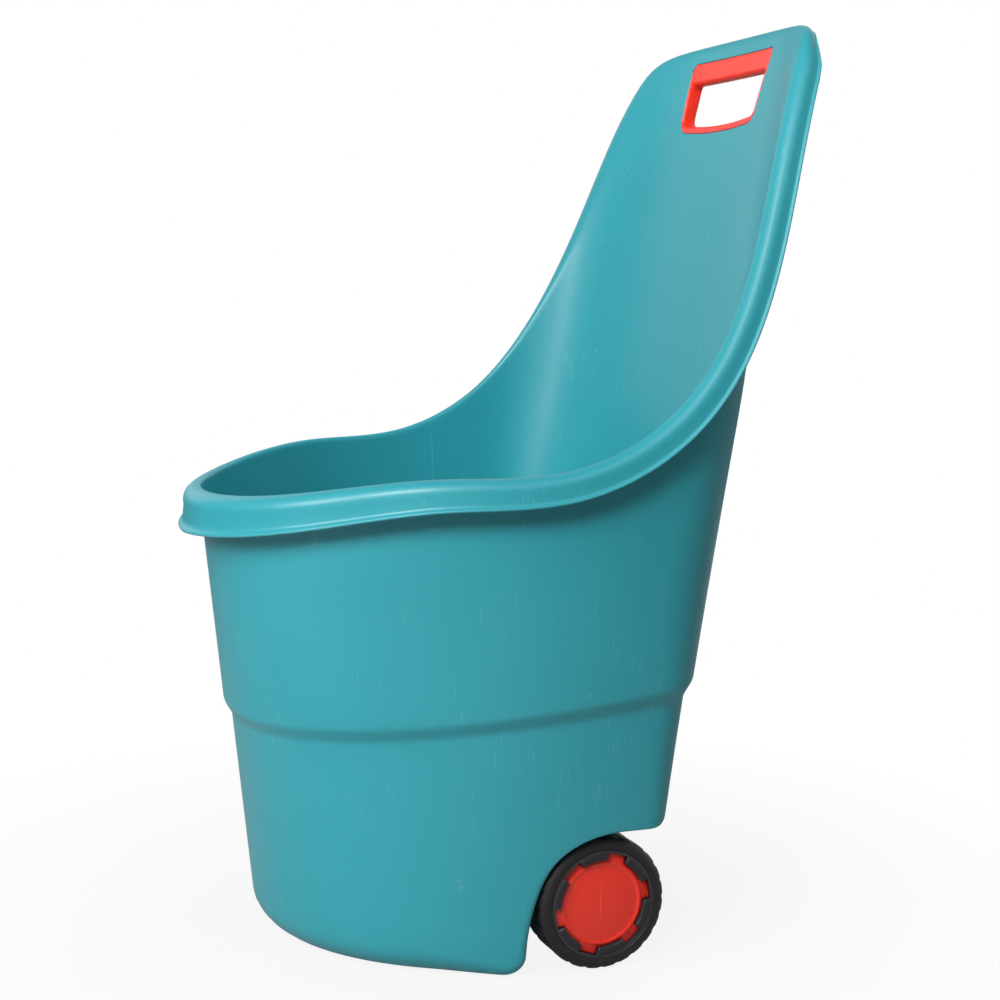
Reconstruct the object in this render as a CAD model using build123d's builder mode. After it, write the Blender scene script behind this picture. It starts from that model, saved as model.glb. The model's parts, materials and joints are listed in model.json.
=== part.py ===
from math import cos, hypot, pi, sin
import os

from build123d import *

os.makedirs("parts", exist_ok=True)

# Muck cart: X is the width, -Y the low front lip, +Y the back panel, Z up, the floor at zero.
height = 838.0
wall = 3.2

# Plan outline of the outer wall at floor height, and its growth per millimetre of height. The rear is
# squarer than the front and gets rounder up the back panel.
half_width, side_draft = 226.0, 0.018
front_reach, front_draft = 216.3, 0.113
rear_reach, rear_draft = 98.6, 0.2125
widest_y = 76.0
front_power = 2.13
rear_power, panel_power, panel_z = 3.09, 2.945, 480.0

# The panel stands steeper in its middle and leans further back towards its top.
panel_lean, lean_back = 63.5, 1.0345

# The lower part is stepped in below a band that climbs towards the rear.
step_in = 6.0
step_level, step_slope, step_rise = 225.4, 0.12, 12.0
base_round, edge_round = 24.0, 2.0
base_fade, base_past = 0.5, 0.25
rear_floor, rear_round = 126.0, 14.0

# Rolled rim: a round crest, a flared skirt and a bead along the skirt's foot. The section grows towards
# the front lip and gets slimmer along the panel's top.
rim_round, skirt_depth, skirt_flare, skirt_wall = 9.0, 19.8, 0.25, 3.0
bead_out, bead_depth = 2.8, 4.6
front_wider, front_deeper, front_fade = 0.80, 0.75, 2.6
top_slimmer, slim_from, slim_over = 0.42, 800.0, 25.0
lip_round = 2.0

# Side view of the rim, front lip to the top of the back panel.
rim_line = [
    (-308, 404), (-266, 409.5), (-112, 435.3), (-4.4, 442), (83.7, 484.6), (164.4, 600), (207.5, 720),
    (238.3, 800), (262.1, 832), (281.2, height - 0.3), (293.2, height), (319.2, height),
]

# Side view of the wheel arch, from the base's rear corner up to the raised rear floor.
arch_round = 20.0
arch_line = [(-26, arch_round), (-20.5, 62), (-2, 103.5), (35, 123.5), (60, rear_floor)]

# Running gear.
axle_y, axle_z, axle_r = 42.0, 60.0, 5.0
run_gap = 0.05
rib_in, rib_out = 158.0, 164.0
boss_r = 15.0
washer_r, washer_t = 11.0, 2.0
side_gap = 0.3
hub_in = rib_out + washer_t + side_gap
wheel_r, wheel_w = 60.0, 46.0
wheel_out = hub_in + wheel_w
rim_r, drum_t = 48.0, 4.0
hub_r = 12.0
hub_out = wheel_out - 16
web_t = 4.0
seat = wheel_out - 7.0
ring_t = 9.0
cap_r, cap_tab_r, cap_tab_w, cap_tabs, cap_turn = 39.0, 45.0, 17.5, 6, 11.8
cap_t, cap_gap = 3.0, 0.2
nut_r, nut_t = 9.0, 3.0
axle_out = hub_out + 6
lugs, lug_h, lug_w = 24, 1.5, 11.0

# Handle opening in the back panel, a little wider above than below and bowed along its foot, and the
# grip frame in it.
hand_z = 784.7
hand_w, hand_h, hand_taper, hand_bow = 156.7, 71.5, 4.0, 5.0
hand_gap = 0.15
hand_front, hand_rear = 2.6, 10.5
post, sill, grip = 3.5, 7.0, 23.0
collar, collar_t, collar_gap = 5.0, 3.0, 0.4


def wall_at(turn, grow, z):
    """Point of the wall, grown outwards, at one turn round the plan and one height."""
    ahead = cos(turn) >= 0
    up = min(max((z - panel_z) / (height - panel_z), 0), 1)
    power = front_power if ahead else rear_power + (panel_power - rear_power) * up
    across, along = sin(turn) ** (2 / power), abs(cos(turn)) ** (2 / power)
    x = across * (half_width + grow + side_draft * z)
    if ahead:
        return Vector(x, widest_y - along * (front_reach + grow + widest_y + front_draft * z), z)
    lean = panel_lean * up * up * (up - lean_back)
    return Vector(x, widest_y + along * (rear_reach + grow - widest_y + rear_draft * z + lean), z)


def meet(turn, grow, profile, depth):
    """Point where the wall meets a side profile moved square to itself into the material."""
    before = None
    for p_y, p_z, n_y, n_z in profile:
        spot_y, spot_z = p_y + depth * n_y, p_z + depth * n_z
        miss = spot_y - wall_at(turn, grow, spot_z).Y
        if before and before[0] < 0 <= miss:
            part = before[0] / (before[0] - miss)
            return wall_at(turn, grow, before[1] + part * (spot_z - before[1]))
        before = (miss, spot_z)


def profile_of(points, hand):
    """Side profile with unit normals, hand +1 for the left of travel and -1 for the right."""
    found = []
    for k, (y, z) in enumerate(points):
        y0, z0 = points[max(k - 1, 0)]
        y1, z1 = points[min(k + 1, len(points) - 1)]
        length = hypot(y1 - y0, z1 - z0)
        found.append((y, z, -hand * (z1 - z0) / length, hand * (y1 - y0) / length))
    return found


with BuildLine(Plane.YZ) as rim_curve:
    Spline(*rim_line, tangents=((8, 1), (1, 0)))

with BuildLine(Plane.YZ) as under_curve:
    corner = arch_line[0][0] - arch_round
    RadiusArc((corner, 0), arch_line[0], -arch_round)
    Spline(*arch_line, tangents=((0, 1), (1, 0)))


def spots(curve, count):
    """Evenly spread side-view points along a curve."""
    return [((curve @ (k / count)).Y, (curve @ (k / count)).Z) for k in range(count + 1)]


arc, arch = under_curve.edges().sort_by(Axis.Z)
rim_profile = profile_of(spots(rim_curve.line, 400), -1)
under_profile = profile_of([(-400, 0)] + spots(arc, 40)[:-1] + spots(arch, 120) + [(400, rear_floor)], 1)
step_profile = profile_of([(y, step_level + step_slope * y) for y in (-400, 0, 400)], 1)

# Turns round the right-hand half, from the middle of the front to the middle of the rear, in three
# stretches that meet where the wheel arch begins and where the plan is widest.
middle = 8.0


def turn_at(low, high, test):
    """Turn between two others at which a rising test passes zero."""
    for _ in range(60):
        mid = (low + high) / 2
        low, high = (mid, high) if test(mid) < 0 else (low, mid)
    return low


def smooth(value):
    """Eased step from 0 to 1."""
    value = min(max(value, 0), 1)
    return value * value * (3 - 2 * value)


heel_round = edge_round + (base_round - edge_round) * smooth(base_past / base_fade)
front_turn = turn_at(0, pi / 2, lambda t: wall_at(t, -step_in, 0).X - middle)
arch_turn = turn_at(0, pi / 2, lambda t: wall_at(t, -step_in - heel_round, 0).Y - corner)
rear_turn = turn_at(pi / 2, pi, lambda t: middle - wall_at(t, -step_in, 0).X)


def spread(first, last, count, grow, profile):
    """Turns spread evenly along the line where the grown wall meets a side profile."""
    fine = [first + (last - first) * k / 600 for k in range(601)]
    path = [meet(t, grow, profile, 0) for t in fine]
    run = [0.0]
    for a, b in zip(path, path[1:]):
        run.append(run[-1] + (b - a).length)
    found, k = [], 0
    for mark in [run[-1] * n / count for n in range(count + 1)]:
        while k < 599 and run[k + 1] < mark:
            k += 1
        found.append(fine[k] + (mark - run[k]) / (run[k + 1] - run[k]) * (fine[k + 1] - fine[k]))
    return found


stretches = [
    spread(front_turn, arch_turn, 12, -step_in, under_profile),
    spread(arch_turn, pi / 2, 22, -step_in, under_profile),
    spread(pi / 2, rear_turn, 24, 0, rim_profile),
]


def bottom_round(turn):
    """Radius of the bottom edge: wide at the base and behind, nearly sharp along the arch."""
    base = (base_round - edge_round) * smooth((arch_turn + base_past - turn) / base_fade)
    rear = (rear_round - edge_round) * smooth((turn - pi / 2) / 0.9)
    return edge_round + base + rear


def row(place):
    """Points of one line round the wall, stretch by stretch, from a place for each turn."""
    return [[place(t) for t in turns] for turns in stretches]


def met_row(grow, profile, depth):
    """Line where the grown wall meets a side profile."""
    return row(lambda t: meet(t, grow, profile, depth))


def round_row(inset, angle):
    """Line on the rounded bottom edge, from the floor (0) to the wall (pi / 2)."""
    def place(turn):
        radius = max(bottom_round(turn) - inset, 0.8)
        grow = -step_in - inset - radius * (1 - sin(angle))
        return meet(turn, grow, under_profile, inset + radius * (1 - cos(angle)))
    return row(place)


def wall_row(inset, part):
    """Line on the upper wall, part of the way from the step up to the rim."""
    def place(turn):
        low = meet(turn, -inset, step_profile, step_rise).Z
        high = meet(turn, -inset, rim_profile, skirt_wall).Z
        return wall_at(turn, -inset, low + part * (high - low))
    return row(place)


def rim_row(out, down):
    """Line of the rim's section: out from the wall's top edge, square to the rim, and down from it."""
    def place(turn):
        edge = meet(turn, 0, rim_profile, 0)
        travel = meet(turn + 0.002, 0, rim_profile, 0) - meet(turn - 0.002, 0, rim_profile, 0)
        near = min(rim_profile, key=lambda spot: abs(spot[0] - edge.Y))
        up = Vector(0, -near[2], -near[3])
        outward = travel.normalized().cross(up)
        forward = max(1 - turn / front_fade, 0) ** 1.6
        slim = 1 - top_slimmer * smooth((edge.Z - slim_from) / slim_over)
        wide, deep = (1 + front_wider * forward) * slim, (1 + front_deeper * forward) * slim
        return edge + outward * (wide * out) - up * (deep * down)
    return row(place)


def skirt_out(down):
    """Distance of the flared skirt from the wall's top edge, at one depth."""
    return rim_round + skirt_flare * (down - rim_round)


# Lines round the tub in order: inner floor, inner wall, lip, crest, skirt, bead, and down the outer wall.
quarter = (0, pi / 4, pi / 2)
parts = (0.3, 0.5, 0.68, 0.8, 0.876, 0.926, 0.972)
turn_in = rim_round * (1 - cos(pi / 4))
bead_top = skirt_depth - bead_depth
rows = [round_row(wall, a) for a in quarter] + [
    met_row(-step_in - wall, step_profile, wall / 2),
    met_row(-wall, step_profile, wall / 2 + step_rise),
] + [wall_row(wall, part) for part in parts] + [
    met_row(-wall, rim_profile, lip_round),
    met_row(lip_round - wall, rim_profile, 0),
    rim_row(0, 0),
    rim_row(rim_round * sin(pi / 4), turn_in),
    rim_row(rim_round, rim_round),
    rim_row(skirt_out(bead_top), bead_top),
    rim_row(skirt_out(bead_top) + bead_out, bead_top + 1.6),
    rim_row(skirt_out(skirt_depth) + bead_out, skirt_depth - 2),
    rim_row(skirt_out(skirt_depth) + bead_out - 2, skirt_depth),
    rim_row(skirt_out(skirt_depth) - skirt_wall, skirt_depth),
    rim_row(rim_round - skirt_wall, rim_round),
    rim_row(rim_round - skirt_wall - 3, skirt_wall + 1),
    met_row(0, rim_profile, skirt_wall + 1),
] + [wall_row(0, part) for part in reversed(parts)] + [
    met_row(0, step_profile, step_rise),
    met_row(-step_in, step_profile, 0),
] + [round_row(0, a) for a in reversed(quarter)]


def across(point):
    """The same point on the left-hand side."""
    return Vector(-point.X, point.Y, point.Z)


def lines(points):
    """Edges of one row: three splines on the right, three on the left, and the short middles.

    The splines of all rows pass their points at the same steps, so the faces between them follow the turns.
    """
    made = []
    for side in (points, [[across(p) for p in stretch] for stretch in points]):
        for stretch in side:
            steps = [k / (len(stretch) - 1) for k in range(len(stretch))]
            made.append(Edge.make_spline(stretch, parameters=steps))
    for p in (points[0][0], points[-1][-1]):
        with BuildLine() as line:
            Line(p, across(p))
        made.append(line.edge())
    return made


hand_slope = (wall_at(pi, 0, hand_z + 20).Y - wall_at(pi, 0, hand_z - 20).Y) / 40
hand_plane = Plane(origin=wall_at(pi, 0, hand_z), x_dir=(-1, 0, 0), z_dir=(0, 1, -hand_slope))


def hand_outline(grow):
    """Outline of the handle opening: tight corners above, round ones below, and a bowed foot."""
    top, low, tall = hand_w / 2 + hand_taper / 2 + grow, hand_w / 2 - hand_taper / 2 + grow, hand_h / 2 + grow
    with BuildSketch(hand_plane) as outline:
        with BuildLine():
            Polyline((low, -tall), (top, tall), (-top, tall), (-low, -tall))
            ThreePointArc((-low, -tall), (0, -tall - hand_bow), (low, -tall))
        make_face()
        fillet(outline.vertices().group_by(Axis.Y)[-1], 4 + grow)
        fillet(outline.vertices().group_by(Axis.Y)[0], 12 + grow)
    return outline.sketch


def skin(loops):
    """Straight-ruled faces between each row and the next."""
    return [
        Face.make_surface_from_curves(a, b)
        for low, high in zip(loops, loops[1:])
        for a, b in zip(low, high)
    ]


def crossing(loop):
    """Faces straight across from the right-hand side of a row to its left-hand side."""
    return [Face.make_surface_from_curves(loop[k], loop[k + 3]) for k in range(3)]


loops = [lines(points) for points in rows]
base = rows[-1][0]
with BuildLine() as base_rear:
    Line(base[-1], across(base[-1]))
base_face = Face(Wire([loops[-1][0], base_rear.edge(), loops[-1][3], loops[-1][6]]))
closing = crossing(loops[0]) + crossing(loops[-1])[1:] + [base_face]

with BuildPart() as tub_shell:
    add(Solid(Shell(skin(loops) + closing)))
    # Handle opening through the panel only.
    add(hand_outline(0))
    extrude(amount=12, dir=hand_plane.z_dir, both=True, mode=Mode.SUBTRACT)
    # Two ribs under the rear floor carry the axle.
    for x in (rib_in, -rib_out):
        with BuildSketch(Plane.YZ.offset(x)):
            with BuildLine():
                Polyline(
                    (axle_y - 6, rear_floor - 1.2), (axle_y + 18, rear_floor + wall / 2),
                    (axle_y + 38, rear_floor + wall / 2),
                    (axle_y + boss_r, axle_z), (axle_y - boss_r, axle_z), close=True,
                )
            make_face()
            with Locations((axle_y, axle_z)):
                Circle(boss_r)
                Circle(axle_r + run_gap, mode=Mode.SUBTRACT)
        extrude(amount=rib_out - rib_in)


def panel_band(inner, outer):
    """Closed band between two grown walls, round the tub at the height of the handle."""
    levels = [hand_z - 60 + 18 * k for k in range(7)]
    edges = [(inner, z) for z in levels] + [(outer, z) for z in reversed(levels)]
    band = [lines(row(lambda t, g=grow, h=z: wall_at(t, g, h))) for grow, z in edges]
    return Solid(Shell(skin(band + band[:1])))


# Collar of the grip, behind the panel and following its curve.
with BuildPart() as handle_collar:
    add(hand_outline(collar))
    extrude(amount=16, dir=hand_plane.z_dir, both=True)
    add(hand_outline(-1))
    extrude(amount=20, dir=hand_plane.z_dir, both=True, mode=Mode.SUBTRACT)
    add(panel_band(collar_gap, collar_gap + collar_t), mode=Mode.INTERSECT)

# Red grip frame: a curved ring through the opening, a thick bar along its top and the collar.
with BuildPart() as handle_grip:
    add(hand_outline(-hand_gap))
    extrude(amount=16, dir=hand_plane.z_dir, both=True)
    with BuildSketch(hand_plane) as hand_hole:
        high, low = hand_h / 2 - grip, sill - hand_h / 2
        wide, narrow = (hand_w / 2 - post + hand_taper * level / hand_h for level in (high, low))
        with BuildLine():
            Polyline((narrow, low), (wide, high), (-wide, high), (-narrow, low))
            ThreePointArc((-narrow, low), (0, low - hand_bow), (narrow, low))
        make_face()
        fillet(hand_hole.vertices().group_by(Axis.Y)[0], 8)
        fillet(hand_hole.vertices().group_by(Axis.Y)[-1], 4)
    extrude(amount=30, both=True, mode=Mode.SUBTRACT)
    add(panel_band(-hand_front, hand_rear), mode=Mode.INTERSECT)
    add(handle_collar.part)

# Steel axle with chamfered ends.
wheel_axis = Axis((0, axle_y, axle_z), (1, 0, 0))
wheel_plane = Plane(origin=(0, axle_y, axle_z), x_dir=(1, 0, 0), z_dir=(0, -1, 0))
with BuildPart() as axle:
    with BuildSketch(Plane(origin=(-axle_out, axle_y, axle_z), x_dir=(0, 1, 0), z_dir=(1, 0, 0))):
        Circle(axle_r)
    extrude(amount=2 * axle_out)
    chamfer(axle.edges().filter_by(GeomType.CIRCLE), 0.8)


def side_plane(x):
    """Plane square to the axle at x, facing outwards."""
    return Plane(origin=(x, axle_y, axle_z), x_dir=(0, 1, 0), z_dir=(1, 0, 0))


def turned(points):
    """Body turned about the axle from an outline of (x, radius) points."""
    with BuildPart() as body:
        with BuildSketch(wheel_plane):
            with BuildLine():
                Polyline(*points, close=True)
            make_face()
        revolve(axis=wheel_axis)
    return body.part


# Spacer washer against the rib, and the push-on nut outside the hub.
with BuildPart() as right_washer:
    with BuildSketch(side_plane(rib_out)):
        Circle(washer_r)
        Circle(axle_r + run_gap, mode=Mode.SUBTRACT)
    extrude(amount=washer_t)

with BuildPart() as right_push_nut:
    nut_in = hub_out + side_gap
    add(turned([
        (nut_in, axle_r + run_gap), (nut_in, nut_r), (nut_in + 1, nut_r),
        (nut_in + nut_t, nut_r - 2.5), (nut_in + nut_t, axle_r + run_gap),
    ]))

# Wheel core: hub, web, drum and a front ring with slots for the cap's tabs.
with BuildPart() as right_wheel_rim:
    web_in = hub_in + (wheel_w - web_t) / 2
    drum_in, ring_in = hub_in + 1, wheel_out - ring_t
    add(turned([
        (hub_in, axle_r + run_gap), (hub_in, hub_r), (web_in, hub_r), (web_in, rim_r - drum_t),
        (drum_in, rim_r - drum_t), (drum_in, rim_r), (wheel_out - 0.5, rim_r),
        (wheel_out - 0.5, cap_r + 1), (wheel_out - 1, cap_r + cap_gap), (ring_in, cap_r + cap_gap),
        (ring_in, rim_r - drum_t), (web_in + web_t, rim_r - drum_t), (web_in + web_t, hub_r),
        (hub_out, hub_r), (hub_out, axle_r + run_gap),
    ]))
    with BuildSketch(side_plane(seat)):
        with PolarLocations(cap_tab_r + cap_gap - 5, cap_tabs, cap_turn):
            Rectangle(10, cap_tab_w + 2 * cap_gap)
    extrude(amount=10, mode=Mode.SUBTRACT)

# Red cap: a shallow dome with tabs that sit in the ring's slots.
with BuildPart() as right_hub_cap:
    add(turned([
        (seat, 0), (seat, cap_r), (seat + cap_t, cap_r), (seat + cap_t + 0.6, cap_r - 1.5),
        (seat + cap_t + 0.6, cap_r - 4), (seat + cap_t, cap_r - 5), (seat + cap_t + 1.2, 20),
        (seat + cap_t + 1.6, 0),
    ]))
    with BuildSketch(side_plane(seat)):
        with PolarLocations(cap_tab_r - 5, cap_tabs, cap_turn):
            Rectangle(10, cap_tab_w)
    extrude(amount=cap_t)

# Tyre: a crowned band with lugs round it.
with BuildPart() as right_tyre:
    tread_r, bore_r = wheel_r - lug_h, rim_r + run_gap
    add(turned([
        (hub_in, bore_r), (hub_in, tread_r - 4), (hub_in + 5, tread_r), (wheel_out - 5, tread_r),
        (wheel_out, tread_r - 4), (wheel_out, rim_r + 3), (wheel_out - 1, bore_r),
    ]))
    with BuildSketch(side_plane(hub_in + 3)):
        with PolarLocations(wheel_r - lug_h, lugs, 180 / lugs):
            Rectangle(2 * lug_h, lug_w)
        with Locations((0, 0)):
            Circle(wheel_r, mode=Mode.INTERSECT)
    extrude(amount=wheel_w - 6)

with BuildPart() as left_washer:
    mirror(right_washer.part, about=Plane.YZ)

with BuildPart() as left_push_nut:
    mirror(right_push_nut.part, about=Plane.YZ)

with BuildPart() as left_wheel_rim:
    mirror(right_wheel_rim.part, about=Plane.YZ)

with BuildPart() as left_hub_cap:
    mirror(right_hub_cap.part, about=Plane.YZ)

with BuildPart() as left_tyre:
    mirror(right_tyre.part, about=Plane.YZ)

pieces = {
    "tub_shell": tub_shell, "handle_grip": handle_grip, "axle": axle,
    "left_tyre": left_tyre, "right_tyre": right_tyre,
    "left_wheel_rim": left_wheel_rim, "right_wheel_rim": right_wheel_rim,
    "left_hub_cap": left_hub_cap, "right_hub_cap": right_hub_cap,
    "left_push_nut": left_push_nut, "right_push_nut": right_push_nut,
    "left_washer": left_washer, "right_washer": right_washer,
}
for name, piece in pieces.items():
    piece.part.label = name
    export_step(piece.part, f"parts/{name}.step")
    print(name, round(piece.part.volume), len(piece.solids()), piece.part.bounding_box())
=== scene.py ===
# %% [markdown]
# A muck cart is a one-piece moulded garden tub with a tall back panel, a red grip let into that panel and
# two small wheels under a raised rear floor. The imported solids give every size and place, so the lesson
# starts by loading them. The solids could be coloured as they are, but new meshes give the visible
# mouldings finer and softer edges. Only the hidden steel and the wheel cores keep their solids.

# %% Load the solids
import json
import math

import bmesh
import bpy
import numpy as np
from mathutils import Matrix, Vector

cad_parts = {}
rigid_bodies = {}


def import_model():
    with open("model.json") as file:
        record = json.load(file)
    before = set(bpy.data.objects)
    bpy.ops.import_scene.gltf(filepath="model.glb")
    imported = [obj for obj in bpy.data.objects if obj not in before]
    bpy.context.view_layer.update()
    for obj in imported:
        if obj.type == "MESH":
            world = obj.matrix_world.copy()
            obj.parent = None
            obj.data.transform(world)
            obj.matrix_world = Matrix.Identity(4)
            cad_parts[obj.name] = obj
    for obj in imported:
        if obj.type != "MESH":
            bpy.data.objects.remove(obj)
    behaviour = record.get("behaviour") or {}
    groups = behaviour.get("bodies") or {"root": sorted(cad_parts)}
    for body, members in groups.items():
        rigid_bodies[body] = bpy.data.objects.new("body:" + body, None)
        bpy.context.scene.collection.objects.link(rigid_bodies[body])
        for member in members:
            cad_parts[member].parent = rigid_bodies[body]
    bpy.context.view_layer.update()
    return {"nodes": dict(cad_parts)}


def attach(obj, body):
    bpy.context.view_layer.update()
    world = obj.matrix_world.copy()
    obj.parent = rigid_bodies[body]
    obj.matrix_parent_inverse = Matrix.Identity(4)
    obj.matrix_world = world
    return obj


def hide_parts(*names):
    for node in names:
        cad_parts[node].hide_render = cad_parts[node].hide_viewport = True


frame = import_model()
print("pieces loaded:", sorted(frame["nodes"]))

# %% [markdown]
# The moulding's walls lean outwards so that the tub leaves its mould, and one formula holds them all: at
# each turn round the plan it gives the wall's place at any height. The plan is a rounded oval in front and
# a squarer one behind. The panel stands steeper in its middle and leans further back towards its top. A
# growth moves the wall in or out to make the thickness and the step. A subdivision cage could be pulled to
# this shape too, but the rim, the step and the grip all need the same wall at other growths, and a formula
# gives it to each of them exactly.

# %% The wall at any turn and height, in millimetres
HEIGHT = 838.0
HALF_WIDTH, SIDE_DRAFT = 226.0, 0.018
FRONT_REACH, FRONT_DRAFT = 216.3, 0.113
REAR_REACH, REAR_DRAFT = 98.6, 0.2125
WIDEST_Y, FRONT_POWER = 76.0, 2.13
REAR_POWER, PANEL_POWER, PANEL_Z = 3.09, 2.945, 480.0
PANEL_LEAN, LEAN_BACK = 63.5, 1.0345
WALL = 3.2


def wall_at(turns, grow, z):
    """Points of the grown wall at the given turns and heights."""
    ahead = np.cos(turns) >= 0
    up = np.clip((z - PANEL_Z) / (HEIGHT - PANEL_Z), 0, 1)
    power = np.where(ahead, FRONT_POWER, REAR_POWER + (PANEL_POWER - REAR_POWER) * up)
    across = np.abs(np.sin(turns)) ** (2 / power)
    along = np.abs(np.cos(turns)) ** (2 / power)
    front = -(FRONT_REACH + grow + WIDEST_Y + FRONT_DRAFT * z)
    rear = REAR_REACH + grow - WIDEST_Y + REAR_DRAFT * z + PANEL_LEAN * up * up * (up - LEAN_BACK)
    y = WIDEST_Y + along * np.where(ahead, front, rear)
    return np.stack([across * (HALF_WIDTH + grow + SIDE_DRAFT * z), y, z + 0 * y], axis=-1)


print("wall", WALL, "mm thick, top of the panel at", HEIGHT, "mm")

# %% [markdown]
# Seen from the side, the rim is one long sweep from the low front lip to the top of the panel. It is drawn
# as a fair curve through a few measured points, given as distance from front to back and height. A curve
# object could hold it, but the mesh needs many lines at a constant distance from it, for the rim's cap,
# skirt and bead, so its points are worked out here with their normals.

# %% Side view of the rim
RIM_POINTS, RIM_START, LEVEL = 900, (8, 1), (1, 0)
RIM_LINE = [
    (-308, 404), (-266, 409.5), (-112, 435.3), (-4.4, 442), (83.7, 484.6), (164.4, 600), (207.5, 720),
    (238.3, 800), (262.1, 832), (281.2, HEIGHT - 0.3), (293.2, HEIGHT), (319.2, HEIGHT),
]


def fair_curve(points, first, last, count):
    """Smooth curve through points that leaves and arrives in the given directions."""
    p = np.array(points, float)
    run = np.r_[0, np.cumsum(np.hypot(*np.diff(p, axis=0).T))]
    gap, n = np.diff(run), len(p)
    a, b = np.eye(n), np.zeros((n, 2))
    b[0], b[-1] = np.array(first) / np.hypot(*first), np.array(last) / np.hypot(*last)
    for k in range(1, n - 1):
        a[k, k - 1:k + 2] = gap[k], 2 * (gap[k - 1] + gap[k]), gap[k - 1]
        b[k] = 3 * (gap[k] * (p[k] - p[k - 1]) / gap[k - 1] + gap[k - 1] * (p[k + 1] - p[k]) / gap[k])
    slope = np.linalg.solve(a, b)
    at = np.linspace(0, run[-1], count)
    i = np.clip(np.searchsorted(run, at) - 1, 0, n - 2)
    h, t = gap[i, None], ((at - run[i]) / gap[i])[:, None]
    start = (1 + 2 * t) * (1 - t) ** 2 * p[i] + t * (1 - t) ** 2 * h * slope[i]
    return start + t * t * (3 - 2 * t) * p[i + 1] + t * t * (t - 1) * h * slope[i + 1]


def with_normals(points, hand):
    """Profile points with unit normals to the left (1) or right (-1) of travel."""
    d = np.gradient(points, axis=0)
    d /= np.hypot(d[:, 0], d[:, 1])[:, None]
    return np.c_[points, -hand * d[:, 1], hand * d[:, 0]]


rim_profile = with_normals(fair_curve(RIM_LINE, RIM_START, LEVEL, RIM_POINTS), -1)
print("rim runs", rim_profile[0, :2].round(), "to", rim_profile[-1, :2].round())

# %% [markdown]
# The underside goes from the flat base round the heel and up the wheel arch to the raised rear floor, and
# the step is a straight line that rises a little to the rear. They could be sketched by hand in a mesh, but
# drawn like the rim they give the floor's thickness from their normals. The base and the rear floor run on
# past the tub at both ends, so that every wall is sure to meet them.

# %% Side views of the underside and the step
REAR_FLOOR, ARCH_ROUND, ARCH_FOOT, ARCH_END = 126.0, 20.0, -26.0, 60.0
HEEL_Y, FAR_Y, UPRIGHT = ARCH_FOOT - ARCH_ROUND, 400.0, (0, 1)
LINE_POINTS, HEEL_POINTS, ARCH_POINTS = 60, 40, 160
STEP_LEVEL, STEP_SLOPE, STEP_RISE, STEP_IN = 225.4, 0.12, 12.0, 6.0
ARCH_LINE = [(ARCH_FOOT, ARCH_ROUND), (-20.5, 62), (-2, 103.5), (35, 123.5), (ARCH_END, REAR_FLOOR)]
bend = np.linspace(0, math.pi / 2, HEEL_POINTS)
heel = np.c_[HEEL_Y + ARCH_ROUND * np.sin(bend), ARCH_ROUND - ARCH_ROUND * np.cos(bend)]
base_line = np.c_[np.linspace(-FAR_Y, HEEL_Y - 0.5, LINE_POINTS), np.zeros(LINE_POINTS)]
floor_line = np.c_[np.linspace(ARCH_END + 1, FAR_Y, LINE_POINTS), np.full(LINE_POINTS, REAR_FLOOR)]
arch = fair_curve(ARCH_LINE, UPRIGHT, LEVEL, ARCH_POINTS)
under_profile = with_normals(np.r_[base_line, heel[:-1], arch, floor_line], 1)
reach_y = np.linspace(-FAR_Y, FAR_Y, 3)
step_profile = with_normals(np.c_[reach_y, STEP_LEVEL + STEP_SLOPE * reach_y], 1)
print("underside points:", len(under_profile), "rear floor at", REAR_FLOOR, "mm")

# %% [markdown]
# Every line round the tub is then one question: where does a grown wall meet a side profile that was moved
# into the material by some depth? Answering it for all turns at once gives a row of points. Cutting the
# wall with an extruded profile would give the same lines, but with ragged faces along them. The turns are
# spread evenly along the wall, with more of them where the arch edge climbs.


# %% Rows of points round the tub
def meet(turns, grow, profile, depth):
    """Points where the grown wall meets a profile moved into the material by depth."""
    grow, depth = (np.broadcast_to(np.asarray(v, float), turns.shape)[:, None] for v in (grow, depth))
    spot_y = profile[:, 0] + depth * profile[:, 2]
    spot_z = profile[:, 1] + depth * profile[:, 3]
    miss = spot_y - wall_at(turns[:, None], grow, spot_z)[..., 1]
    k = np.maximum(np.argmax(miss >= 0, axis=1), 1)
    each = np.arange(len(turns))
    before, after = miss[each, k - 1], miss[each, k]
    z = spot_z[each, k - 1] + before / (before - after) * (spot_z[each, k] - spot_z[each, k - 1])
    return wall_at(turns, grow[:, 0], z)


COLUMNS, FINE_COLUMNS, PLAN_Z, CLIMB_SHARE = 190, 2000, 400.0, 0.6
fine = np.linspace(0, math.pi, FINE_COLUMNS + 1)
plan = wall_at(fine, 0.0, PLAN_Z)
edge = meet(fine, -STEP_IN, under_profile, 0)
stride = np.hypot(*np.diff(plan[:, :2], axis=0).T) + CLIMB_SHARE * np.abs(np.diff(edge[:, 2]))
run = np.r_[0, np.cumsum(stride)]
turns = np.interp(np.linspace(0, run[-1], COLUMNS + 1), run, fine)
print("columns per half:", COLUMNS, "spacing mm:", round(run[-1] / COLUMNS, 2))

# %% [markdown]
# The rim is a rolled edge: a rounded cap over the wall, a skirt that hangs beside it and a flared bead
# along the skirt's foot, which catches a thin highlight. A bevelled curve could be laid on the edge, but
# rim and wall come out of one mould, so the rim is made as more rows of the same skin. Its section stands
# square to the rim's own line, and for that the line needs a direction upwards and one outwards at each
# turn.

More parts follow.
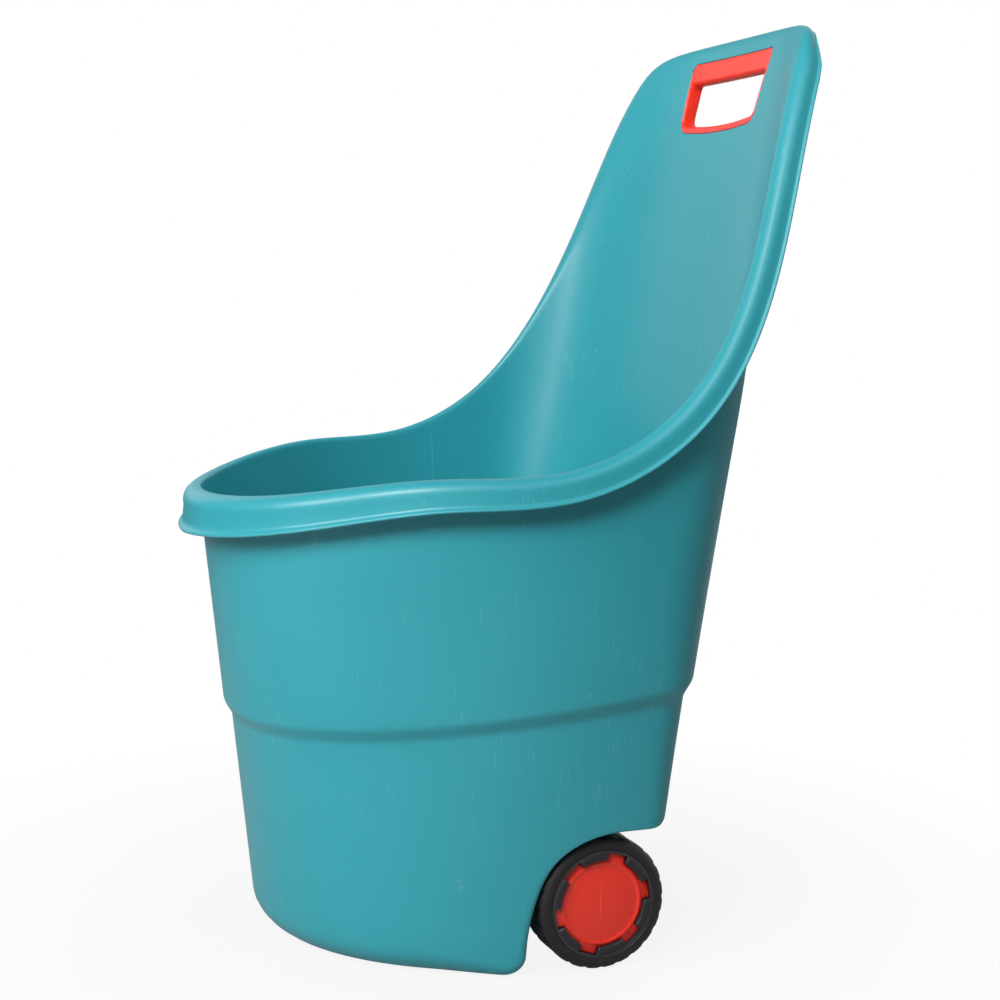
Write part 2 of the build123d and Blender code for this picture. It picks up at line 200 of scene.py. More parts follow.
# %% Directions along the rim
MIRROR = np.array([-1, 1, 1])
rim_edge = meet(turns, 0, rim_profile, 0)
before = np.r_[rim_edge[1:2] * MIRROR, rim_edge[:-1]]
after = np.r_[rim_edge[1:], rim_edge[-2:-1] * MIRROR]
travel = (after - before) / np.linalg.norm(after - before, axis=1)[:, None]
upright = [-np.interp(rim_edge[:, 1], rim_profile[:, 0], rim_profile[:, k]) for k in (2, 3)]
cap_up = np.stack([0 * turns, *upright], axis=1)
cap_up /= np.linalg.norm(cap_up, axis=1)[:, None]
cap_out = np.cross(travel, cap_up)
print("rim edge from", rim_edge[0].round(1), "to", rim_edge[-1].round(1))

# %% [markdown]
# The section is a short list of places outwards and down. It is wider and deeper at the front lip, has a
# rounder crest towards the panel and grows slim along the panel's top. One fixed section would be simpler,
# but the photograph shows these changes, so each of them is an eased factor on the same list.

# %% Section of the rim, from the inner wall over the cap to the outer wall
LIP, CREST, FLARE, LOW = 5.5, 9.0, 0.25, 19.8
SKIRT = [
    (0.0, 15.2), (0.1, 16.2), (0.4, 16.9), (0.9, 17.4), (1.5, 17.8), (1.9, 18.3), (2.0, 18.8), (1.8, 19.3),
    (1.3, 19.7), (0.6, LOW), (-1.2, LOW), (-2.5, 19.5), (-3.0, 18.7), (-3.0, 16.0), (-3.0, 12.0), (-3.0, 8.0),
    (-3.4, 5.6), (-4.4, 4.0), (-5.4, 3.5),
]
FRONT_TURN, FRONT_FADE, FRONT_WIDER, FRONT_DEEPER = 2.6, 1.6, 0.80, 0.75
PANEL_CREST, FRONT_SQUARE = 3.0, 0.2
SLIM_FROM, SLIM_OVER, SLIM_BY = 788.0, 40.0, 0.5
NECK_IN, NECK_OUT, NECK_LOW = 3.3, 2.6, 6.4
LIP_ROWS, NECK_ROWS = 7, 5
quarter = np.radians([0, 15, 30, 45, 60, 75, 90])


def ease(value):
    """Eased step from 0 to 1."""
    value = np.clip(value, 0, 1)
    return value * value * (3 - 2 * value)


def bent(start, corner, end, count):
    """Rows that round a corner from start to end."""
    return [(1 - t) ** 2 * start + 2 * t * (1 - t) * corner + t * t * end for t in np.linspace(0, 1, count)]


forward = np.maximum(1 - turns / FRONT_TURN, 0) ** FRONT_FADE
slimmer = 1 - SLIM_BY * ease((rim_edge[:, 2] - SLIM_FROM) / SLIM_OVER)
wider, deeper = ((1 + k * forward) * slimmer for k in (FRONT_WIDER, FRONT_DEEPER))
ahead = np.sqrt(forward)
crest, flare, square = CREST + PANEL_CREST * (1 - ahead), FLARE * ahead, 1 - FRONT_SQUARE * ahead
section = [(crest * math.sin(a) ** square, crest * (1 - abs(math.cos(a)) ** square)) for a in quarter]
section += [(crest + flare * (down - crest) + out, 0 * crest + down) for out, down in SKIRT]
inner_corner = meet(turns, -WALL, rim_profile, 0)
outer_corner = meet(turns, 0, rim_profile, NECK_IN)
outer_start, outer_end = outer_corner + NECK_OUT * cap_out, meet(turns, 0, rim_profile, NECK_LOW)
rim_lines = bent(meet(turns, -WALL, rim_profile, LIP), inner_corner, rim_edge, LIP_ROWS)[:-1]
rim_lines += [
    rim_edge + (wider * out)[:, None] * cap_out - (deeper * down)[:, None] * cap_up for out, down in section
]
rim_lines += bent(outer_start, outer_corner, outer_end, NECK_ROWS)
print("rim section rows:", len(rim_lines))

# %% [markdown]
# The bottom edge is a quarter round that is wide at the base and at the rear and almost sharp along the
# arch. It changes from one to the other round the heel, where the base ends and the arch begins. A bevel
# modifier has one width for the whole edge, so the radius is worked out turn by turn instead.

# %% Radius of the bottom edge
BASE_ROUND, EDGE_ROUND, REAR_ROUND = 24.0, 2.0, 14.0
BASE_FADE, BASE_PAST, REAR_FADE = 0.5, 0.25, 0.9
heel_round = EDGE_ROUND + (BASE_ROUND - EDGE_ROUND) * ease(BASE_PAST / BASE_FADE)
arch_turn = fine[np.argmax(wall_at(fine, -STEP_IN - heel_round, 0.0)[:, 1] > HEEL_Y)]
bottom_round = EDGE_ROUND + (BASE_ROUND - EDGE_ROUND) * ease((arch_turn + BASE_PAST - turns) / BASE_FADE)
bottom_round = bottom_round + (REAR_ROUND - EDGE_ROUND) * ease((turns - math.pi / 2) / REAR_FADE)


def rounded_edge(inset, angle):
    """Row on the quarter round between floor (0) and wall (90 degrees)."""
    radius = np.maximum(bottom_round - inset, 1.0)
    grow = -STEP_IN - inset - radius * (1 - math.sin(angle))
    return meet(turns, grow, under_profile, inset + radius * (1 - math.cos(angle)))


print("bottom edge radius mm:", bottom_round.min().round(1), "to", bottom_round.max().round(1))

# %% [markdown]
# Below the rim the moulding has an outer and an inner wall 3.2 mm apart. Each is a stack of rows: level
# ones down to the step, closely spaced ones over the step, and then rows that follow the underside down to
# its rounded edge. A solidify modifier could make the second wall, but here the rim joins both, and the
# formula keeps them at one distance. A block of the level rows is fitted to the height of the hand opening.

# %% Rows of the wall, the step and the bottom edge
HAND_Z, HAND_W, HAND_H, HAND_TAPER, HAND_BOW = 784.7, 156.7, 71.5, 4.0, 5.0
HAND_EDGE, HAND_ROWS, UNDER_RIM = 0.9, 12, 824.5
STEP_SPREAD, STEP_ROWS, LOWER_PARTS = 1.5, 10, 12
hand_up = (HAND_Z - PANEL_Z) / (HEIGHT - PANEL_Z)
lean_slope = PANEL_LEAN * (3 * hand_up - 2 * LEAN_BACK) * hand_up / (HEIGHT - PANEL_Z)
tilt = math.atan(REAR_DRAFT + lean_slope)
hand_top = HAND_Z + HAND_H / 2 * math.cos(tilt)
hand_low = HAND_Z - (HAND_H / 2 + HAND_BOW) * math.cos(tilt)
panel_z = [UNDER_RIM, *np.linspace(hand_top + HAND_EDGE, hand_low - HAND_EDGE, HAND_ROWS)]
panel_z += [739, 728, 710, 688, 660, 630, 598, 564, 530, 495, 460, 425, 392, 360, 330, 303, 280]


def wall_rows(inset, top):
    """Rows from just under the rim down to the floor, for the outer (0) or inner wall."""
    shape = [
        meet(turns, -inset - STEP_IN * (1 - ease(s)), step_profile,
             inset / 2 + STEP_RISE / 2 + (s - 0.5) * STEP_SPREAD * STEP_RISE)
        for s in np.linspace(1, 0, STEP_ROWS)
    ]
    high, low = top[:, 2], shape[0][:, 2]
    parts = [(high[-1] - z) / (high[-1] - low[-1]) for z in panel_z]
    upper = [wall_at(turns, -inset, high + (low - high) * part) for part in parts]
    foot = rounded_edge(inset, math.pi / 2)
    lower = [
        wall_at(turns, -inset - STEP_IN, shape[-1][:, 2] + (foot[:, 2] - shape[-1][:, 2]) * part)
        for part in np.linspace(0, 1, LOWER_PARTS + 1)[1:-1]
    ]
    return upper + shape + lower + [rounded_edge(inset, a) for a in quarter[::-1]]


inner_rows = wall_rows(WALL, rim_lines[0])
outer_rows = wall_rows(0.0, rim_lines[-1])
half_rows = inner_rows[::-1] + rim_lines + outer_rows
print("rows round the tub:", len(half_rows))

# %% [markdown]
# The hand opening is drawn flat first: wide above, narrow below, with rounded corners and a bowed foot. A
# second function lays any such flat drawing onto the curved panel, at the outer wall or at a depth in it. A
# shrinkwrap modifier could do that as well, but the grip needs the same places at many depths.

# %% Outline of the hand opening
HAND_ROUND_TOP, HAND_ROUND_LOW = 4, 12


def outline(wide, narrow, top, low, round_top, round_low, count):
    """Closed outline, wide above and narrow below, with rounded corners and a bowed foot."""
    bends = []
    for sx, sy, half, level, r in (
        (1, 1, wide, top, round_top), (-1, 1, wide, top, round_top),
        (-1, -1, narrow, low, round_low), (1, -1, narrow, low, round_low),
    ):
        a = (math.atan2(sy, sx) - math.pi / 4 + np.linspace(0, math.pi / 2, count))[:, None]
        bends.append(np.array([sx * (half - r), level - sy * r]) + r * np.hstack([np.cos(a), np.sin(a)]))
    loop = []
    for bend_now, bend_next in zip(bends, bends[1:] + bends[:1]):
        part = np.linspace(0, 1, 3 * count)[1:-1, None]
        loop += [bend_now, bend_now[-1] * (1 - part) + bend_next[0] * part]
    loop = np.concatenate(loop)
    loop[:, 1] -= HAND_BOW * np.clip(1 - (loop[:, 0] / narrow) ** 2, 0, 1) * (loop[:, 1] < 0)
    return loop


def hand_outline(grow, count=60):
    """Outline of the opening in the panel, grown outwards."""
    half, tall = HAND_W / 2 + grow, HAND_H / 2 + grow
    wide, narrow = half + HAND_TAPER / 2, half - HAND_TAPER / 2
    return outline(wide, narrow, tall, -tall, HAND_ROUND_TOP + grow, HAND_ROUND_LOW + grow, count)


def on_panel(flat, grow):
    """Panel points of the grown wall at flat (across, up) places round the opening's middle."""
    z = HAND_Z + flat[:, 1] * math.cos(tilt)
    up = (z - PANEL_Z) / (HEIGHT - PANEL_Z)
    power = REAR_POWER + (PANEL_POWER - REAR_POWER) * up
    part = np.abs(flat[:, 0]) / (HALF_WIDTH + grow + SIDE_DRAFT * z)
    reach = REAR_REACH + grow - WIDEST_Y + REAR_DRAFT * z + PANEL_LEAN * up * up * (up - LEAN_BACK)
    return np.c_[flat[:, 0], WIDEST_Y + (1 - part ** power) ** (1 / power) * reach, z]


opening = hand_outline(0.0)
print("opening", np.ptp(opening, axis=0).round(1), "mm")

# %% [markdown]
# Rows become a skin by joining each point to its neighbours with four-sided faces. The left half mirrors
# the right. Where the grip goes through the panel, a block of faces is left out of both walls. A boolean
# cut would be shorter to write, but it leaves thin faces that show as dents in a satin wall.

# %% Skin of the tub
ring = 2 * COLUMNS
points = np.array([np.r_[r, (r * MIRROR)[-2:0:-1]] for r in half_rows])
index = np.arange(points.shape[0] * ring).reshape(points.shape[0], ring)
panel_x = wall_at(turns, 0, HAND_Z)[:, 0]
side_steps = COLUMNS - int(np.argmin(np.abs(panel_x[COLUMNS // 2:] - HAND_W / 2)) + COLUMNS // 2)
left, right = COLUMNS - side_steps, COLUMNS + side_steps
outer_top = len(inner_rows) + len(rim_lines) + 1
outer_low = outer_top + HAND_ROWS - 1
inner_top = len(inner_rows) - 2
inner_low = inner_top - HAND_ROWS + 1
faces = []
for r in range(points.shape[0] - 1):
    in_hole = outer_top <= r < outer_low or inner_low <= r < inner_top
    for c in range(ring):
        d = (c + 1) % ring
        if not (in_hole and left <= c < right):
            faces.append((index[r, c], index[r, d], index[r + 1, d], index[r + 1, c]))
print("faces of both walls:", len(faces))

# %% [markdown]
# The border of the left-out block is drawn onto the opening's outline, and a few rows lead from the outer
# wall to the inner one. The border could stay stepped behind the grip, but drawn in this way the hole has
# the clean rounded edge of a moulding.


# %% Edge of the hand opening
def border(first, last):
    """Vertices round a left-out block of the skin, in order."""
    top, low = index[first, left:right + 1], index[last, left:right + 1]
    step = 1 if last > first else -1
    near, far = index[first:last + step:step, right], index[first:last + step:step, left]
    return np.r_[top[:-1], near[:-1], low[::-1][:-1], far[::-1][:-1]]


EDGE_SECTION = [(0.3, 0.25), (0.0, 0.9), (0.0, 2.3), (0.3, 2.95)]
outer_border = border(outer_top, outer_low)
inner_border = border(inner_top, inner_low)
skin = points.reshape(-1, 3)
rough = skin[outer_border]
rough = np.c_[rough[:, 0], (rough[:, 2] - HAND_Z) / math.cos(tilt)]
nearest = np.argmin(((rough[:, None] - opening[None]) ** 2).sum(2), axis=1)
wide = hand_outline(HAND_EDGE)[nearest]
skin[outer_border] = on_panel(wide, 0.0)
skin[inner_border] = on_panel(wide, -WALL)
edge_rows = [outer_border]
for grow, depth in EDGE_SECTION:
    edge_rows.append(len(skin) + np.arange(len(outer_border)))
    skin = np.r_[skin, on_panel(hand_outline(grow)[nearest], -depth)]
edge_rows.append(inner_border)
for a, b in zip(edge_rows, edge_rows[1:]):
    for c in range(len(a)):
        d = (c + 1) % len(a)
        faces.append((a[c], a[d], b[d], b[c]))
print("rows round the opening's edge:", len(edge_rows))

# %% [markdown]
# The lowest rows of both walls are open loops. Straight strips from side to side close them, which gives
# the flat base, the curved wheel arch and the raised rear floor in one go, since all of them are straight
# across. Filling each loop with one large face would be quicker, but such a face can't follow the arch.

# %% Floor and underside
STRIPS = 16


def straight_across(row, vertices):
    """Points and faces with strips from the right-hand side of a closed row to its left-hand side."""
    grid = np.zeros((COLUMNS + 1, STRIPS + 1), int)
    part = np.linspace(0, 1, STRIPS + 1)[1:-1, None]
    for k in range(COLUMNS + 1):
        a, b = row[k], row[-k % ring]
        grid[k, 0], grid[k, -1] = a, b
        if a == b:
            grid[k] = a
            continue
        grid[k, 1:-1] = len(vertices) + np.arange(STRIPS - 1)
        vertices = np.r_[vertices, vertices[a] * (1 - part) + vertices[b] * part]
    strips = []
    for k in range(COLUMNS):
        for s in range(STRIPS):
            loop = [grid[k, s], grid[k, s + 1], grid[k + 1, s + 1], grid[k + 1, s]]
            strips.append(tuple(dict.fromkeys(loop)))
    return vertices, strips


for lowest in (index[0], index[-1]):
    skin, strips = straight_across(lowest, skin)
    faces += strips
    print("strips:", len(strips))

# %% [markdown]
# One helper turns points and faces into a piece that rides on its body and takes the place of a solid, and
# another turns its faces outwards. The order of the points could be watched by hand for that, but Blender
# finds the outside of a closed skin by itself. The tub is the first piece made with them.

# %% The finished tub
MM = 0.001


def add_piece(name, vertices, loops, body, slot, *stands_for):
    """New smooth mesh piece in the shared frame, from millimetre points and faces."""
    mesh = bpy.data.meshes.new(name)
    mesh.from_pydata((np.asarray(vertices) * MM).tolist(), [], [[int(i) for i in f] for f in loops])
    mesh.polygons.foreach_set("use_smooth", [True] * len(mesh.polygons))
    piece = bpy.data.objects.new(name, mesh)
    bpy.context.scene.collection.objects.link(piece)
    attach(piece, body)
    if stands_for:
        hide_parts(*stands_for)
    print(name, len(mesh.vertices), "points", len(mesh.polygons), "faces")
    return piece


def face_outwards(piece):
    """Turns all faces of a closed mesh to look outwards."""
    work = bmesh.new()
    work.from_mesh(piece.data)
    bmesh.ops.remove_doubles(work, verts=work.verts, dist=1e-7)
    bmesh.ops.recalc_face_normals(work, faces=work.faces)
    open_edges = sum(1 for e in work.edges if not e.is_manifold)
    work.to_mesh(piece.data)
    work.free()
    print(piece.name, "open edges:", open_edges)


tub = add_piece("tub_moulding", skin, faces, "cart", "tub", "tub_shell")
face_outwards(tub)

# %% [markdown]
# Under the raised rear floor two moulded ribs carry the axle. They are hidden in the photograph and are
# kept plain: a tapered plate with a round boss, its edges broken by a small bevel as in any moulding. A cut
# plate would do, but six rings of points give the plate, the bevel and the bore at once.

# %% Ribs under the rear floor
AXLE_Y, AXLE_Z, BOSS, BORE_R = 42.0, 60.0, 15.0, 5.05
RIB_IN, RIB_OUT, BEVEL = 158.0, 164.0, 0.8


def round_axle(radius, around):
    """Places (y, z) at the given angles on a circle about the axle."""
    return [(AXLE_Y + radius * math.cos(a), AXLE_Z + radius * math.sin(a)) for a in around]


def tube_faces(rings, count, closed=True):
    """Quads between successive rings of points, the last joined to the first if closed."""
    made = []
    for r in range(rings if closed else rings - 1):
        for c in range(count):
            d, n = (c + 1) % count, (r + 1) % rings
            made.append((r * count + c, r * count + d, n * count + d, n * count + c))
    return made


rib_top = [(AXLE_Y - 6, REAR_FLOOR - 1.2), (AXLE_Y + 18, REAR_FLOOR + 1.6), (AXLE_Y + 38, REAR_FLOOR + 1.6)]
rib_side = np.array(round_axle(BOSS, np.linspace(0, -math.pi, 25)) + rib_top)
bore = np.array(round_axle(BORE_R, np.linspace(0, -2 * math.pi, len(rib_side), endpoint=False)))
to_middle = rib_side.mean(axis=0) - rib_side
small = rib_side + to_middle / np.linalg.norm(to_middle, axis=1)[:, None] * BEVEL
rib_rings = [
    (small, RIB_IN), (rib_side, RIB_IN + BEVEL), (rib_side, RIB_OUT - BEVEL), (small, RIB_OUT),
    (bore, RIB_OUT), (bore, RIB_IN),
]
for side, name in ((1, "right_rib"), (-1, "left_rib")):
    rib_points = np.concatenate([np.c_[np.full(len(r), side * x), r] for r, x in rib_rings])
    rib = add_piece(name, rib_points, tube_faces(len(rib_rings), len(rib_side)), "cart", "tub", "tub_shell")
    face_outwards(rib)

# %% [markdown]
# The red grip is a separate moulding clipped into the opening. It follows the curve of the panel: a thick
# rounded bar along the top where the hand pulls, a thin post at each side, a thin sill below and a collar
# behind the panel that holds it. A bevelled curve has one section all the way, so rings are used instead:
# each follows the frame at its own depth, and the section is wide along the top and narrow elsewhere, with
# a large radius towards the hand.

# %% Red grip frame
POST, SILL, GRIP, CLEARANCE = 3.5, 7.0, 23.0, 0.15
HOLE_ROUND_TOP, HOLE_ROUND_LOW, CORNER_POINTS = 4.0, 8.0, 16
SOFT, SOFT_SHARE, FRONT, FRONT_EDGE = 6.0, 0.42, -2.95, 1.1
COLLAR_SECTION = [
    (0.0, 9.9), (0.0, 3.5), (-4.5, 3.4), (-4.9, 3.0), (-4.9, 0.8), (-4.5, 0.4), (0.0, 0.4), (0.0, -2.0),
    (0.2, -2.5), (0.6, -2.85), (FRONT_EDGE, FRONT),
]
REAR_OF_HOLE = [(0.0, 9.2), (-0.3, 10.1), (-0.9, 10.5)]
REAR_OUTSIDE = [(0.9, 10.5), (0.3, 10.3)]
hole_top, hole_low = HAND_H / 2 - GRIP, SILL - HAND_H / 2
hole_wide, hole_narrow = (HAND_W / 2 - POST + HAND_TAPER * level / HAND_H for level in (hole_top, hole_low))
outer_loop = hand_outline(-CLEARANCE, CORNER_POINTS)
hole_loop = outline(hole_wide, hole_narrow, hole_top, hole_low, HOLE_ROUND_TOP, HOLE_ROUND_LOW, CORNER_POINTS)
inward = hole_loop - outer_loop
width = np.hypot(inward[:, 0], inward[:, 1])[:, None]
inward = inward / width
soft = np.minimum(SOFT, SOFT_SHARE * width)
grip_rings = [on_panel(outer_loop + inward * inset, grow) for inset, grow in COLLAR_SECTION]
for part in np.linspace(0.2, 1, 5):
    inset = FRONT_EDGE + (width - soft - FRONT_EDGE) * part
    grip_rings.append(on_panel(outer_loop + inward * inset, FRONT))
for angle in quarter[1:]:
    inset = width - soft * (1 - math.sin(angle))
    depth = FRONT + soft * (1 - math.cos(angle))
    grip_rings.append(on_panel(outer_loop + inward * inset, 0.0) + depth * (0, 1, 0))
grip_rings += [on_panel(hole_loop + inward * inset, grow) for inset, grow in REAR_OF_HOLE]
grip_rings += [on_panel(outer_loop + inward * inset, grow) for inset, grow in REAR_OUTSIDE]
grip_faces = tube_faces(len(grip_rings), len(outer_loop))
grip = add_piece("grip_moulding", np.concatenate(grip_rings), grip_faces, "cart", "grip", "handle_grip")
face_outwards(grip)

# %% [markdown]
# Each wheel is a moulded black tyre on a black core, closed by a red cap that snaps in with six tabs. The
# tyre is turned from one section with a ridge on its side wall, and shallow lugs are raised round the tread
# by the angle. A screw modifier could turn the section, but it can't raise the lugs, and separate blocks
# would lack the soft foot that moulded lugs have. Wheels are made for the right-hand side first.

# %% Tyre with shallow lugs
WHEEL_OUT, TREAD, CORE_R = 212.3, 58.5, 48.05
LUGS, LUG, LUG_POINTS, LUG_SHARE, LUG_SLOPE = 24, 0.8, 14, 0.86, 0.3
MID_TREAD, GROOVE_HALF, GROOVE_SLOPE, LUG_END, END_SLOPE = -23.0, 0.8, 1.2, 22.0, 3.0
TYRE_SECTION = [
    (-1.6, CORE_R), (-0.7, 48.4), (-0.2, 49.0), (0.0, 49.8), (-0.1, 50.8), (0.1, 51.6), (0.35, 52.2),
    (0.35, 53.0), (0.0, 53.8), (-0.5, 55.0), (-1.5, 56.5), (-3.2, 57.7), (-5.0, 58.3), (-7.0, TREAD),
    (-11.0, TREAD), (-16.0, TREAD), (-22.0, TREAD), (MID_TREAD, TREAD), (-24.0, TREAD), (-30.0, TREAD),
    (-35.0, TREAD), (-39.0, TREAD), (-41.0, 58.3), (-42.8, 57.7), (-44.4, 56.5), (-45.4, 55.2), (-45.9, 53.4),
    (-46.0, 50.6), (-45.3, 48.5), (-44.4, CORE_R),
]
TYRE_STEPS = LUGS * LUG_POINTS
angles = np.linspace(0, 2 * math.pi, TYRE_STEPS, endpoint=False)


def lug_height(angle, offset):
    """How far a lug stands out at this angle, with the lugs of the inner half set between the outer ones."""
    shift = math.pi / LUGS if offset < MID_TREAD else 0.0
    turn = ((angle + shift) * LUGS / (2 * math.pi)) % 1
    along = ease((LUG_SHARE - abs(turn - 0.5) * 2) / LUG_SLOPE)
    from_middle = abs(offset - MID_TREAD)
    groove, end = ease((from_middle - GROOVE_HALF) / GROOVE_SLOPE), ease((LUG_END - from_middle) / END_SLOPE)
    return LUG * along * groove * end


def on_wheel(offset, radius, angle):
    """Right-hand wheel point at a distance from its outer side, a radius and an angle."""
    return WHEEL_OUT + offset, AXLE_Y + radius * math.cos(angle), AXLE_Z + radius * math.sin(angle)


tyre_points = [
    on_wheel(offset, radius + lug_height(angle, offset), angle)
    for offset, radius in TYRE_SECTION for angle in angles
]
print("tyre points:", len(tyre_points))

# %% [markdown]
# The cap's outline is a circle with six tabs whose corners are slightly rounded. Rings of the same number
# of points lead from that outline over a raised lip and a groove to the shallow dome. A disc with tabs
# joined on would show a seam at each tab, and in this way tabs and dome share one skin.

# %% Cap with tabs
CAP_R, TAB_R, TAB_HALF, TABS, TAB_TURN = 39.0, 45.0, 8.75, 6, math.radians(11.8)
TAB_ROUND, TAB_BREAK, TAB_FLAT, PITCH = 1.2, 0.35, 5, 2 * math.pi / TABS
SEAT, CAP_T, BACK_R, GAP_POINTS = -7.0, 3.0, 20.0, 18
CAP_SECTION = [
    (38.0, 0.05), (37.4, 0.5), (36.8, 0.8), (36.0, 0.9), (35.2, 0.75), (34.6, 0.35), (34.0, 0.12),
    (33.0, 0.1), (30.0, 0.35), (26.0, 0.75), (21.0, 1.15), (15.0, 1.4), (8.0, 1.55), (3.0, 1.6), (0.0, 1.6),
]


def cap_outline():
    """Angles and radii of the cap's outline: a circle with six tabs of even width and rounded ends."""
    foot = math.asin(TAB_HALF / CAP_R)
    base = CAP_R * math.cos(foot)
    flank = [(base + (TAB_R - TAB_ROUND - base) * t, TAB_HALF) for t in np.linspace(0, 1, 5)]
    flank += [(TAB_R - TAB_BREAK, TAB_HALF - TAB_BREAK), (TAB_R, TAB_HALF - TAB_ROUND)]
    end = [(TAB_R, half) for half in np.linspace(-TAB_FLAT, TAB_FLAT, 6)]
    tab = [(along, -half) for along, half in flank] + end + flank[::-1]
    found = []
    for k in range(TABS):
        centre = TAB_TURN + k * PITCH
        found += [(centre + math.atan2(half, along), math.hypot(along, half)) for along, half in tab]
        gap = np.linspace(centre + foot, centre + PITCH - foot, GAP_POINTS)[1:-1]
        found += [(angle, CAP_R) for angle in gap]
    return found


rim_of_cap = cap_outline()
cap_rings = []
for radius in (0.0, BACK_R):
    cap_rings.append([on_wheel(SEAT, radius, angle) for angle, _ in rim_of_cap])
for shrink, offset in ((0.0, 0.0), (0.0, CAP_T - 0.7), (0.2, CAP_T - 0.2), (0.7, CAP_T)):
    cap_rings.append([on_wheel(SEAT + offset, radius - shrink, angle) for angle, radius in rim_of_cap])
for radius, rise in CAP_SECTION:
    cap_rings.append([on_wheel(SEAT + CAP_T + rise, radius, angle) for angle, _ in rim_of_cap])
print("cap rings:", len(cap_rings), "points in each:", len(rim_of_cap))

# %% [markdown]
# Between the tabs the core rises in six low blocks that lock the cap. A small section is carried along an
# arc for each of them, with its ends let down a little so that they catch a soft light as moulded corners
# do. Boxes bent by a modifier could stand in for them, but their width and ends would be harder to fit to
# the tabs.

# %% Raised blocks of the core between the tabs
BLOCK_SECTION = [
    (39.7, -2.0), (39.7, -0.3), (40.0, 0.1), (40.6, 0.3),
    (44.6, 0.3), (45.3, 0.1), (45.6, -0.3), (45.6, -2.0),
]
BLOCK_R, BLOCK_GAP, END_DROP, END_PART, SPANS = 42.0, 0.6, 0.4, 0.0625, 20
corners = len(BLOCK_SECTION)
clear = math.asin((TAB_HALF + BLOCK_GAP) / BLOCK_R)
block_points, block_faces = [], []
for k in range(TABS):
    first, last = TAB_TURN + k * PITCH + clear, TAB_TURN + (k + 1) * PITCH - clear
    start = len(block_points)
    for t in np.linspace(0, 1, SPANS + 1):
        drop = END_DROP * ease(1 - min(t, 1 - t) / END_PART)
        angle = first + (last - first) * t
        block_points += [on_wheel(rise - drop * (rise > -1), radius, angle) for radius, rise in BLOCK_SECTION]
    for j in range(start, start + SPANS * corners, corners):
        for c in range(corners):
            d = (c + 1) % corners
            block_faces.append((j + c, j + d, j + corners + d, j + corners + c))
    block_faces.append(tuple(range(start, start + corners)))
    block_faces.append(tuple(range(start + SPANS * corners, start + (SPANS + 1) * corners)))
print("block faces:", len(block_faces))

# %% [markdown]
# The finished points serve both wheels: the left-hand one is their mirror. A mirror modifier would tie the
# two together, but each wheel turns on its own, so the pieces are made twice. Tyre and cap replace the
# plain solids, and the blocks are added on top of the core's solid, which stays.

# %% Both wheels
tyre_faces = tube_faces(len(TYRE_SECTION), TYRE_STEPS)
cap_faces = tube_faces(len(cap_rings), len(rim_of_cap), closed=False)
for side, way in (("right", np.ones(3)), ("left", MIRROR)):
    body = side + "_wheel"
    tyre_at, cap_at = np.array(tyre_points) * way, np.concatenate(cap_rings) * way
    blocks_at = np.array(block_points) * way
    tyre = add_piece(side + "_tyre_moulding", tyre_at, tyre_faces, body, "tread", side + "_tyre")
    cap = add_piece(side + "_cap_moulding", cap_at, cap_faces, body, "cap", side + "_hub_cap")
    blocks = add_piece(side + "_core_blocks", blocks_at, block_faces, body, "wheel_core")
    for piece in (tyre, cap, blocks):
        face_outwards(piece)

# %% [markdown]
# Materials come next. Each starts from what the real one is and how its surface was made, with colours as
# sRGB values that are turned to linear light by one function. Pictures could be wrapped round the pieces,
# but noise in object space needs no unwrapping and has the same scale on all of them. It is given by the
# size of its features in millimetres. One small helper adds a shader node, sets its values and joins its
# inputs.


# %% Shader helpers
def linear(code):
    """Linear colour of an sRGB hex value."""
    parts = [int(code[i:i + 2], 16) / 255 for i in (1, 3, 5)]
    return (*[c / 12.92 if c <= 0.04045 else ((c + 0.055) / 1.055) ** 2.4 for c in parts], 1.0)


def per_metre(size_mm):
    """Noise scale for features of this size."""
    return 1000 / size_mm


def add_node(tree, kind, joins=(), **settings):
    """Adds a shader node with its settings and its (input, value or socket) pairs."""
    made = tree.nodes.new(kind)
    for name, value in settings.items():
        setattr(made, name, value)
    for name, value in joins:
        if isinstance(value, bpy.types.NodeSocket):
            tree.links.new(value, made.inputs[name])
        else:
            made.inputs[name].default_value = value
    return made


def start_material(name):
    """Empty material with its node tree and the place in object space."""
    material = bpy.data.materials.new(name)
    material.use_nodes = True
    tree = material.node_tree
    tree.nodes.clear()
    return material, tree, add_node(tree, "ShaderNodeTexCoord").outputs["Object"]


print("middle grey in linear light:", round(linear("#808080")[0], 3))

# %% [markdown]
# Use leaves three kinds of mark on a moulded skin, and all of them make it paler and rougher. Hair
# scratches are noise stretched to lines 4 cm long and 2 mm wide, drawn coarser than real ones to show, and
# come in patches. Scuffs are small smears of about a centimetre. Edges that stand out are made paler too,
# partly as rubbed wear and partly as a painted sheen that stands in for their highlight.
# Marks could be placed one by one, but a general pattern looks right from every side.
# Marks could be placed one by one, but a general pattern looks right from every side.

# %% Wear and painted edge sheen of a moulded skin
HAIR_MM, HAIR_LEAN = (1.923, 1.923, 38.46), (0.35, 0.25, 0.4)
SCUFF_MM, SCUFF_SHARE, EDGE_WEAR_AND_SHEEN_SHARE = 13.0, 0.3, 0.35


